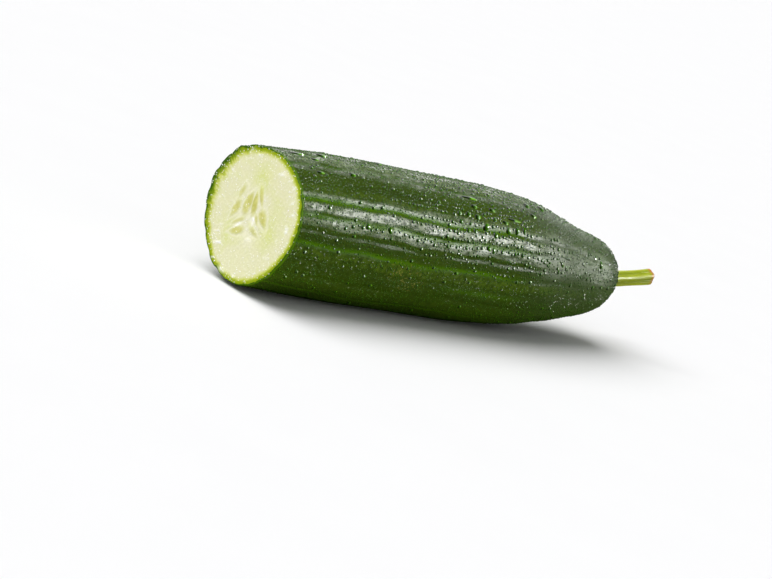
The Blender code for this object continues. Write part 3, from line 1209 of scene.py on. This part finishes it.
@dataclass
class Stalk:
    """The short ribbed stalk with its cut tip."""

    body: BodyShape
    length: float = 23.2 * MM
    rise: float = 3.9 * MM
    curl: float = 1.2
    radii: tuple[float, ...] = tuple(r * MM for r in (3.3, 3.15, 2.95, 2.85, 2.85, 2.95, 3.1))
    ribs: int = 5
    rib_height: float = 0.07
    rib_twist: float = 16 * MM
    fibres: tuple[int, int] = (23, 37)
    fibre_sway: Reach = (5 * MM, 3 * MM)
    fibre_height: float = 0.012
    fine_fibre_share: float = 0.6
    browned_length: Reach = (2.6 * MM, 0.9 * MM)
    cut_length: Reach = (1.3 * MM, 0.5 * MM)
    cut_inset: Reach = (0.9 * MM, 1.4 * MM)
    browned_on_top: float = 0.3
    root_depth: float = 3.1 * MM
    root_width: float = 0.6
    flare: float = 0.8 * MM
    flare_length: float = 2.6 * MM
    edge_round: float = 1.1 * MM
    tip_slant: float = -0.04
    tip_slant_from: float = 0.6
    tip_dome: float = 0.2 * MM
    rings: int = 60
    sides: int = 120

    def profile(self) -> list[tuple[float, float]]:
        """The stalk drawn straight: root, side, rounded tip edge and slightly domed cut.

        Returns:
            Points (x, radius) from the middle of the root to the middle of the tip.
        """
        side_x = np.linspace(-self.root_depth, self.length - self.edge_round, self.rings)
        share = (side_x + self.root_depth) / (self.length + self.root_depth)
        radius = np.interp(share, np.linspace(0, 1, len(self.radii)), self.radii)
        radius = radius + self.flare * bell(side_x / self.flare_length)
        tip = self.radii[-1]
        points = [(-self.root_depth, 0.0), (-self.root_depth, self.root_width * self.radii[0])]
        points += [(float(x), float(r)) for x, r in zip(side_x, radius)]
        for turn in (30.0, 60.0, 90.0):
            inset = self.edge_round * (1 - math.cos(math.radians(turn)))
            forward = self.edge_round * math.sin(math.radians(turn))
            points.append((self.length - self.edge_round + forward, tip - inset))
        inner = tip - 1.15 * self.edge_round
        for share in (0.95, 0.7, 0.45, 0.2, 0.0):
            points.append((self.length + self.tip_dome * (1 - share * share), share * inner))
        return points

    def build(self) -> Piece:
        """Models the stalk and stores what its material reads.

        Returns:
            The piece.
        """
        piece = spun("cucumber_stalk", self.profile(), self.sides)
        plain = points_of(piece)
        x, y, z = plain.T
        radius = np.hypot(y, z)
        turn = np.arctan2(-y, z)
        rib = np.cos(self.ribs * turn + x / self.rib_twist)
        coarse = np.cos(self.fibres[0] * turn + 2 * np.sin(x / self.fibre_sway[0]))
        fine = np.cos(self.fibres[1] * turn - x / self.fibre_sway[1])
        fibred = self.fibre_height * (coarse + self.fine_fibre_share * fine)
        shaped = radius * (1 + self.rib_height * rib + fibred)
        forward = self.body.axis_direction(self.body.length)
        side = Vector((0, 0, 1)).cross(forward)
        slanted = smooth_step(x, self.tip_slant_from * self.length, self.length)
        along = x - self.tip_slant * shaped * np.sin(turn) * slanted
        up = shaped * np.cos(turn) + self.rise * (x / self.length).clip(0) ** self.curl
        across = -shaped * np.sin(turn)
        root = np.array(self.body.axis_point(self.body.length))
        place = (
            root
            + along[:, None] * np.array(forward)
            + across[:, None] * np.array(side)
            + up[:, None] * np.array((0.0, 0.0, 1.0))
        )
        move_points(piece, place)
        store(piece, "grown_from", plain)
        store(piece, "rib", 0.5 + 0.5 * rib)
        at_tip = smooth_step(x, *(self.length - back for back in self.cut_length))
        browned = smooth_step(x, *(self.length - back for back in self.browned_length))
        inward = smooth_step(self.radii[-1] - radius, *self.cut_inset)
        store(piece, "cut", at_tip * inward)
        upward = 1 - self.browned_on_top * (1 - np.cos(turn))
        store(piece, "cut_edge", browned * upward * (1 - inward))
        piece.data.materials.append(StalkFinish().material())
        deselect_all()
        piece.select_set(True)
        bpy.ops.object.shade_smooth()
        return piece


# Dew


@dataclass(frozen=True)
class DropForm:
    """How a drop is made: its dome, and its painted glint. Lengths are shares of its half width.

    Some drops have a dimmer painted glint, by up to the dulled share of its brightness.
    """

    sides: int
    rings: int
    height: float
    painted_glint_out: float
    painted_glint_reach: float
    dulled: float = 0.0
    roughened: float = 0.0


class DropKind(Enum):
    """The kinds of drop."""

    MIST = DropForm(6, 2, 0.60, 0.60, 0.56, dulled=0.75)
    BEAD = DropForm(10, 3, 0.58, 0.42, 0.50, dulled=0.4)
    DROP = DropForm(28, 9, 0.46, 0.40, 0.19, roughened=0.035)


@dataclass(frozen=True)
class Drop:
    """One drop on the skin: where it sits, its half length along the body and half width."""

    arc: float
    clock: float
    half_length: float
    half_width: float
    lean: float = 0.0


LARGE_DROPS = tuple(
    Drop(arc * MM, clock, length * MM / 2, width * MM / 2, *lean)
    for arc, clock, length, width, *lean in (
        (9, 3, 7.0, 1.9, 4),
        (21, -35, 4.6, 2.2, 8),
        (22, -3, 4.8, 1.7, 6),
        (31, -28, 4.2, 2.2, -6),
        (14, 12, 3.2, 1.3, 5),
        (49, -5, 2.8, 1.6, 5),
        (56, -24, 3.0, 1.9, -8),
        (26.5, 26.5, 2.7, 1.9, 12),
        (12, 29, 3.6, 1.3, 0),
        (29, 70, 1.9, 2.1),
        (39, 70, 1.9, 2.2),
        (64, 40, 1.7, 1.8),
        (73, 46, 2.2, 2.0),
        (77.5, 45.5, 2.6, 2.2, 8),
        (82, 46.5, 3.2, 1.9, 4),
        (90.5, 46, 2.0, 2.2),
        (96, 47, 3.0, 1.6, 8),
        (101.5, 42.5, 7.5, 1.1, 3),
        (82, 28, 7.0, 1.3, 5),
        (82, 37, 3.2, 1.8, 12),
        (91, 37, 3.0, 1.6, 15),
        (73, 53, 1.9, 1.8),
        (85.5, 54, 3.1, 2.4, -18),
        (97, 53.5, 2.2, 2.4),
        (101.5, 52, 2.1, 2.8, 5),
        (105.5, 50.5, 1.7, 3.0, 5),
        (76.5, 59, 1.8, 1.8),
        (80, 58.5, 1.8, 1.9),
        (90, 59, 2.0, 2.5),
        (87, 70.5, 2.3, 1.6, 30),
        (89.5, 71.5, 1.2, 2.4),
        (75.5, 94.5, 2.2, 0.9),
        (114, 20, 2.5, 2.9, -10),
        (123, 17, 2.4, 3.1, -20),
        (114, 32.5, 3.6, 1.6, 12),
        (128, 71.5, 2.2, 1.6, 35),
        (131, 74, 1.3, 2.0),
        (133, -31, 3.2, 2.0, -25),
        (137.5, -22, 2.3, 3.2, -25),
        (141, -44, 3.4, 2.4),
        (148, 52, 1.3, 2.2, 10),
        (153, 54, 1.3, 2.4, 5),
        (156.5, 61, 1.7, 3.2, 8),
        (154, 91, 1.4, 1.6),
        (40, 262, 2.4, 2.2),
        (58, 281, 3.2, 2.1, -10),
        (70, 240, 2.6, 2.0, 10),
        (96, 300, 2.8, 2.5, 12),
        (118, 270, 2.6, 2.2),
        (132, 325, 2.4, 2.8, -15),
        (20, 305, 2.6, 2.2),
        (150, 290, 2.0, 2.4),
    )
)


@dataclass
class Dew:
    """Drops all over the skin: large ones listed, beads and mist scattered clear of them."""

    body: BodyShape
    seed: int = 11
    bead_count: int = 7400
    mist_count: int = 58000
    mist_pieces: int = 3
    bead_half: Reach = (0.36 * MM, 0.76 * MM)
    mist_half: Reach = (0.17 * MM, 0.38 * MM)
    bead_rows: tuple[tuple[float, float, float], ...] = (
        (40.5, 56 * MM, 112 * MM),
        (45.5, 40 * MM, 112 * MM),
        (52.5, 56 * MM, 128 * MM),
        (59.5, 50 * MM, 138 * MM),
        (65.5, 66 * MM, 134 * MM),
        (71.5, 22 * MM, 120 * MM),
        (-44.0, 40 * MM, 120 * MM),
        (-52.0, 60 * MM, 130 * MM),
    )
    row_step: float = 1.75 * MM
    row_stray: float = 0.4
    row_swerve: float = 1.1
    row_half: Reach = (0.40 * MM, 0.76 * MM)
    row_stretch: float = 1.06
    small_power: float = 1.6
    stretch: Reach = (0.88, 1.18)
    lobes: tuple[tuple[int, float], ...] = ((2, 0.07), (3, 0.06))
    cut_margin: float = 0.15 * MM
    smooth_angle: float = 60.0
    drier_below: float = 0.35
    drier_from: Reach = (78.0, 100.0)
    wet_side: float = 48.0
    wet_side_reach: Reach = (28.0, 50.0)
    beads_everywhere: float = 0.08
    beads_by_cut: float = 0.20
    beads_from: Reach = (45 * MM, 75 * MM)
    # Where each drop's painted glint sits and how bright it is: lower on drops low on the side, dimmer under
    # the body
    painted_glint_height: float = 0.8
    painted_glint_low: Reach = (70.0, 95.0)
    painted_glint_lowered: float = 0.5
    painted_glint_under: Reach = (105.0, 130.0)
    painted_glint_dimmed: float = 0.6
    clear_end: Reach = (0.6 * MM, 5 * MM)
    clearance: float = 1.08
    floor_clearance: float = 1.2 * MM
    sunk: float = 0.04 * MM
    cell: float = 2.0 * MM
    random: np.random.Generator = field(init=False)
    grid: dict[tuple[int, ...], list[tuple[Array, float]]] = field(default_factory=dict)

    def __post_init__(self) -> None:
        """Starts the scattering from its seed."""
        self.random = np.random.default_rng(self.seed)

    def cell_of(self, point: Array) -> tuple[int, ...]:
        """The cell of the grid that a point is in."""
        return tuple(int(c // self.cell) for c in point)

    def claim(self, point: Array, reach: float) -> bool:
        """Takes a round place on the skin if nothing is there yet.

        Args:
            point: Its middle.
            reach: Its radius.

        Returns:
            True if the place was free.
        """
        home = self.cell_of(point)
        for beside in itertools.product((-1, 0, 1), repeat=3):
            key = tuple(a + b for a, b in zip(home, beside))
            for other, other_reach in self.grid.get(key, ()):
                gap = (reach + other_reach) * self.clearance
                if float(((point - other) ** 2).sum()) < gap * gap:
                    return False
        self.grid.setdefault(home, []).append((point, reach))
        return True

    def claim_large(self, large: Drop) -> None:
        """Keeps the scattered drops off a large one.

        Args:
            large: The drop.
        """
        reach = min(large.half_length, large.half_width)
        steps = max(1, round(large.half_length / reach))
        for k in range(-steps, steps + 1):
            arc = large.arc + k / steps * (large.half_length - reach)
            point = self.body.surface(np.array(arc), np.array(large.clock))
            self.grid.setdefault(self.cell_of(point), []).append((point, reach))

    def beaded(self, clock: Array, x: Array) -> Array:
        """How freely beads stand: thick on the wet side past the middle, thin by the cut and below.

        Args:
            clock: Clock angles.
            x: Distances from the cut.

        Returns:
            A share from 0 to 1 for each point.
        """
        off_side = np.abs(turn_from(clock, self.wet_side))
        off_back = np.abs(turn_from(clock, -self.wet_side))
        sides = 1 - smooth_step(np.minimum(off_side, off_back), *self.wet_side_reach)
        past_cut = self.beads_by_cut + (1 - self.beads_by_cut) * smooth_step(x, *self.beads_from)
        return self.beads_everywhere + (1 - self.beads_everywhere) * sides * past_cut

    def misted(self, clock: Array, x: Array) -> Array:
        """How freely mist stands: everywhere, but thinner below."""
        below = smooth_step(np.abs(turn_from(clock, 0.0)), *self.drier_from)
        return (1 - self.drier_below * below) * np.ones_like(x)

    def scatter(
        self,
        count: int,
        half: Reach,
        crowd: Callable[[Array, Array], Array],
    ) -> list[Drop]:
        """Scatters round drops, more of them small, clear of each other and of the floor.

        Args:
            count: How many are tried.
            half: The least and the greatest half width.
            crowd: Gives the share of them that stand, from clock angles and distances.

        Returns:
            Those that found room.
        """
        end = self.body.arc()[-1]
        arc = self.random.uniform(self.clear_end[0], end - self.clear_end[1], count)
        clock = self.random.uniform(0.0, 360.0, count)
        share = self.random.random(count) ** self.small_power
        x, radius = self.body.profile()
        girth = np.interp(arc, self.body.arc(), radius) / radius.max()
        kept = self.random.random(count) < girth * crowd(clock, np.interp(arc, self.body.arc(), x))
        size = half[0] + (half[1] - half[0]) * share
        stretch = self.random.uniform(*self.stretch, count)
        points = self.body.surface(arc, clock)
        found = []
        for i in np.flatnonzero(kept & (points[:, 2] > self.floor_clearance)):
            if self.claim(points[i], size[i]):
                lengthened = size[i] * stretch[i]
                found.append(Drop(arc[i], clock[i], lengthened, size[i] / stretch[i]))
        return found

    def rows(self) -> list[Drop]:
        """Sets beads side by side along the ribs, on the lips where water gathers.

        Returns:
            Those that found room.
        """
        found = []
        for row_clock, start, end in self.bead_rows:
            arc = np.arange(start, end, self.row_step)
            arc += self.random.uniform(-self.row_stray, self.row_stray, len(arc)) * self.row_step
            x = np.interp(arc, self.body.arc(), self.body.profile()[0])
            wander = self.body.stray(np.full_like(x, row_clock), x) - row_clock
            clock = row_clock - wander + self.random.uniform(-1, 1, len(arc)) * self.row_swerve
            size = self.random.uniform(*self.row_half, len(arc))
            points = self.body.surface(arc, clock)
            for i in range(len(arc)):
                if self.claim(points[i], size[i]):
                    found.append(Drop(arc[i], clock[i], size[i] * self.row_stretch, size[i]))
        return found

    def template(self, kind: DropKind) -> tuple[Array, list[tuple[int, ...]]]:
        """One drop, modelled as a sphere cut in half, with its flat side closed.

        Args:
            kind: How fine it is.

        Returns:
            Its points, with a radius and a height of 1, and its faces.
        """
        deselect_all()
        form = kind.value
        bpy.ops.mesh.primitive_uv_sphere_add(segments=form.sides, ring_count=2 * form.rings, radius=1)
        model = bpy.context.object
        with editing():
            bpy.ops.mesh.bisect(
                plane_co=(0, 0, 0), plane_no=(0, 0, 1), clear_inner=True, use_fill=True, threshold=1e-4
            )
        points = points_of(model)
        faces = [tuple(face.vertices) for face in model.data.polygons]
        mesh = model.data
        bpy.data.objects.remove(model)
        bpy.data.meshes.remove(mesh)
        return points, faces

    def lay(self, name: str, kind: DropKind, drops: Sequence[Drop]) -> Piece:
        """Copies a drop over the skin, each copy draped on the ribs under it, with painted light, painted
        shade and a painted glint stored on its points.

        Args:
            name: The piece's name.
            kind: How fine the drops are.
            drops: Where they go.

        Returns:
            The piece.
        """
        model, faces = self.template(kind)
        outline = np.arctan2(model[:, 1], model[:, 0])
        table = np.array([(d.arc, d.clock, d.half_length, d.half_width, d.lean) for d in drops])
        arc, clock, half_length, half_width, lean = (column[:, None] for column in table.T)
        phases = self.random.uniform(0, math.tau, (3, len(drops), 1))
        form = kind.value
        lobes = (*self.lobes, (5, form.roughened))
        uneven = 1 + sum(deep * np.cos(n * outline + phase) for (n, deep), phase in zip(lobes, phases))
        length = model[:, 0] * half_length * uneven
        width = model[:, 1] * half_width * uneven
        turn = np.radians(lean)
        along = length * np.cos(turn) - width * np.sin(turn)
        around = length * np.sin(turn) + width * np.cos(turn)
        at, radii = self.body.arc(), self.body.profile()[1]
        point_arc = (arc + along).clip(self.cut_margin, at[-1])
        point_clock = clock + np.degrees(around / np.interp(arc, at, radii))
        half = np.minimum(half_length, half_width)
        height = form.height * half * model[:, 2] - self.sunk * (model[:, 2] < 1e-3)
        points = self.body.surface(point_arc, point_clock)
        points = points + self.body.skin_normal(point_arc, point_clock) * height[..., None]

        middles = self.body.surface(arc, clock)
        normal = self.body.skin_normal(arc, clock)
        # Painted light and shade on each drop: a gradient across it along the window lamp's direction
        window = np.array(Vector(WINDOW_DIRECTION).normalized())
        towards = unit(window - (normal @ window)[..., None] * normal)
        # Painted glint: a white spot near each drop's side towards the window lamp
        off_top = np.abs(turn_from(clock, 0.0))
        painted_glint_out = 1 - self.painted_glint_lowered * smooth_step(off_top, *self.painted_glint_low)[..., None]
        raised = self.painted_glint_height * form.height * normal
        painted_glint_spot = middles + half[..., None] * (form.painted_glint_out * painted_glint_out * towards + raised)
        away = np.linalg.norm(points - painted_glint_spot, axis=-1) / (form.painted_glint_reach * half)
        painted_lit_side = 0.5 + 0.5 * ((points - middles) * towards).sum(-1) / half

        mesh = bpy.data.meshes.new(name)
        count = len(model)
        all_faces = [tuple(v + k * count for v in face) for k in range(len(drops)) for face in faces]
        mesh.from_pydata(points.reshape(-1, 3), [], all_faces)
        piece = bpy.data.objects.new(name, mesh)
        bpy.context.scene.collection.objects.link(piece)
        store(piece, "painted_lit_side", painted_lit_side.ravel())
        # Painted glint brightness: random from drop to drop, dimmer under the body
        painted_glint_strength = 1 - form.dulled * self.random.random((len(drops), 1))
        painted_glint_strength = painted_glint_strength * (1 - self.painted_glint_dimmed * smooth_step(off_top, *self.painted_glint_under))
        store(piece, "painted_drop_glint", (painted_glint_strength * bell(away)).ravel())
        mesh.materials.append(bpy.data.materials["water"])
        deselect_all()
        piece.select_set(True)
        bpy.context.view_layer.objects.active = piece
        with editing():
            bpy.ops.mesh.normals_make_consistent(inside=False)
        bpy.ops.object.shade_smooth_by_angle(angle=math.radians(self.smooth_angle))
        return piece

    def build(self) -> list[Piece]:
        """Lays all the drops.

        Returns:
            The pieces.
        """
        WaterFinish().material()
        for large in LARGE_DROPS:
            self.claim_large(large)
        beads = self.rows() + self.scatter(self.bead_count, self.bead_half, self.beaded)
        mist = self.scatter(self.mist_count, self.mist_half, self.misted)
        pieces = [self.lay("dew_drops", DropKind.DROP, LARGE_DROPS)]
        pieces.append(self.lay("dew_beads", DropKind.BEAD, beads))
        for k in range(self.mist_pieces):
            pieces.append(self.lay(f"dew_mist_{k + 1}", DropKind.MIST, mist[k :: self.mist_pieces]))
        return pieces


# Studio


@dataclass(frozen=True)
class SoftLight:
    """A soft light so far off that it falls evenly over the whole floor."""

    name: str
    direction: tuple[float, float, float]
    strength: float
    spread: float
    gloss_only: bool = False

    def build(self, lit_pieces: Sequence[Piece] = ()) -> None:
        """Puts the light in the scene.

        Args:
            lit_pieces: The only pieces that it lights, or none where it lights all.
        """
        data = bpy.data.lights.new(self.name, "SUN")
        data.energy = self.strength
        data.angle = math.radians(self.spread)
        lamp = bpy.data.objects.new(self.name, data)
        bpy.context.scene.collection.objects.link(lamp)
        away = Vector(self.direction).normalized()
        lamp.location = away
        lamp.rotation_euler = (-away).to_track_quat("-Z", "Y").to_euler()
        lamp.visible_diffuse = not self.gloss_only
        if lit_pieces:
            lit = bpy.data.collections.new(f"{self.name}_lit")
            for piece in lit_pieces:
                lit.objects.link(piece)
            lamp.light_linking.receiver_collection = lit


@dataclass
class Studio:
    """The pale floor, the soft lights and the camera."""

    body: BodyShape
    skins: Sequence[Piece]
    dew: Sequence[Piece]
    camera_azimuth: float = -47.81
    camera_elevation: float = 11.61
    camera_roll: float = 20.50
    camera_distance: float = 0.700
    focal_pixels: float = 2192.4
    cut_pixel: tuple[float, float] = (251.1, 213.9)
    sensor_width: float = 36.0
    floor_half: float = 25.0
    world_light: float = 0.16

    def build(self) -> None:
        """Makes the floor, lights, world and camera."""
        SoftLight("key", (-0.42, 0.22, 0.88), 3.0, 60.0).build()
        SoftLight("front", (-0.80, -0.45, 0.40), 0.62, 45.0).build()
        SoftLight("back", (0.71, 0.57, 0.42), 0.56, 40.0, gloss_only=True).build()
        SoftLight("sheen", SHEEN_DIRECTION, 2.3, 50.0, gloss_only=True).build(self.skins)
        SoftLight("sheen_core", SHEEN_DIRECTION, 1.8, 26.0, gloss_only=True).build(self.skins)
        SoftLight("window", WINDOW_DIRECTION, 6.0, 9.0).build(self.dew)
        self.make_floor()
        self.make_world()
        self.make_camera()

    def make_floor(self) -> None:
        """A wide, level, pale floor."""
        deselect_all()
        bpy.ops.mesh.primitive_plane_add(size=2 * self.floor_half, location=(0, 0, 0))
        floor = bpy.context.object
        floor.name = floor.data.name = "floor"
        floor.data.materials.append(FloorFinish().material())
        floor.visible_glossy = False

    def make_world(self) -> None:
        """An even pale surround."""
        world = bpy.context.scene.world = bpy.data.worlds.new("surround")
        world.use_nodes = True
        background = next(n for n in world.node_tree.nodes if n.type == "BACKGROUND")
        background.inputs["Color"].default_value = (1.0, 1.0, 1.0, 1.0)
        background.inputs["Strength"].default_value = self.world_light
        world.cycles_visibility.glossy = False

    def make_camera(self) -> None:
        """The photograph's camera, rolled as the half is tilted there."""
        azimuth, elevation = math.radians(self.camera_azimuth), math.radians(self.camera_elevation)
        level = math.cos(elevation)
        back = Vector((math.sin(azimuth) * level, -math.cos(azimuth) * level, math.sin(elevation)))
        turn = (-back).to_track_quat("-Z", "Y")
        turn = turn @ Quaternion((0, 0, 1), math.radians(self.camera_roll))
        right, up = turn @ Vector((1, 0, 0)), turn @ Vector((0, 1, 0))
        metres = self.camera_distance / self.focal_pixels
        aside = (PHOTO_WIDTH / 2 - self.cut_pixel[0]) * metres
        above = (self.cut_pixel[1] - PHOTO_HEIGHT / 2) * metres
        data = bpy.data.cameras.new("camera")
        data.sensor_fit = "HORIZONTAL"
        data.sensor_width = self.sensor_width
        data.lens = self.focal_pixels * self.sensor_width / PHOTO_WIDTH
        camera = bpy.data.objects.new("camera", data)
        bpy.context.scene.collection.objects.link(camera)
        cut = self.body.axis_point(0.0)
        camera.location = cut + back * self.camera_distance + right * aside + up * above
        camera.rotation_mode = "QUATERNION"
        camera.rotation_quaternion = turn
        bpy.context.scene.camera = camera
        bpy.context.scene.view_settings.view_transform = "Standard"


def triangles(piece: Piece) -> int:
    """How many triangles a piece has."""
    return len(piece.data.loops) - 2 * len(piece.data.polygons)


def main() -> None:
    """Builds the cucumber's pieces, its floor and lights, and notes each piece."""
    logging.basicConfig(level=logging.INFO, format="%(message)s")
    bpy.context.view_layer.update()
    body = BodyShape()

    fruit = Fruit(body).build()
    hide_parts("fruit")
    stalk = Stalk(body).build()
    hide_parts("stalk")
    dew = Dew(body).build()
    for piece in (fruit, stalk, *dew):
        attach(piece, "root")
        LOG.info("%s: %d triangles", piece.name, triangles(piece))

    Studio(body, (fruit, stalk), dew).build()


if __name__ == "__main__":
    main()
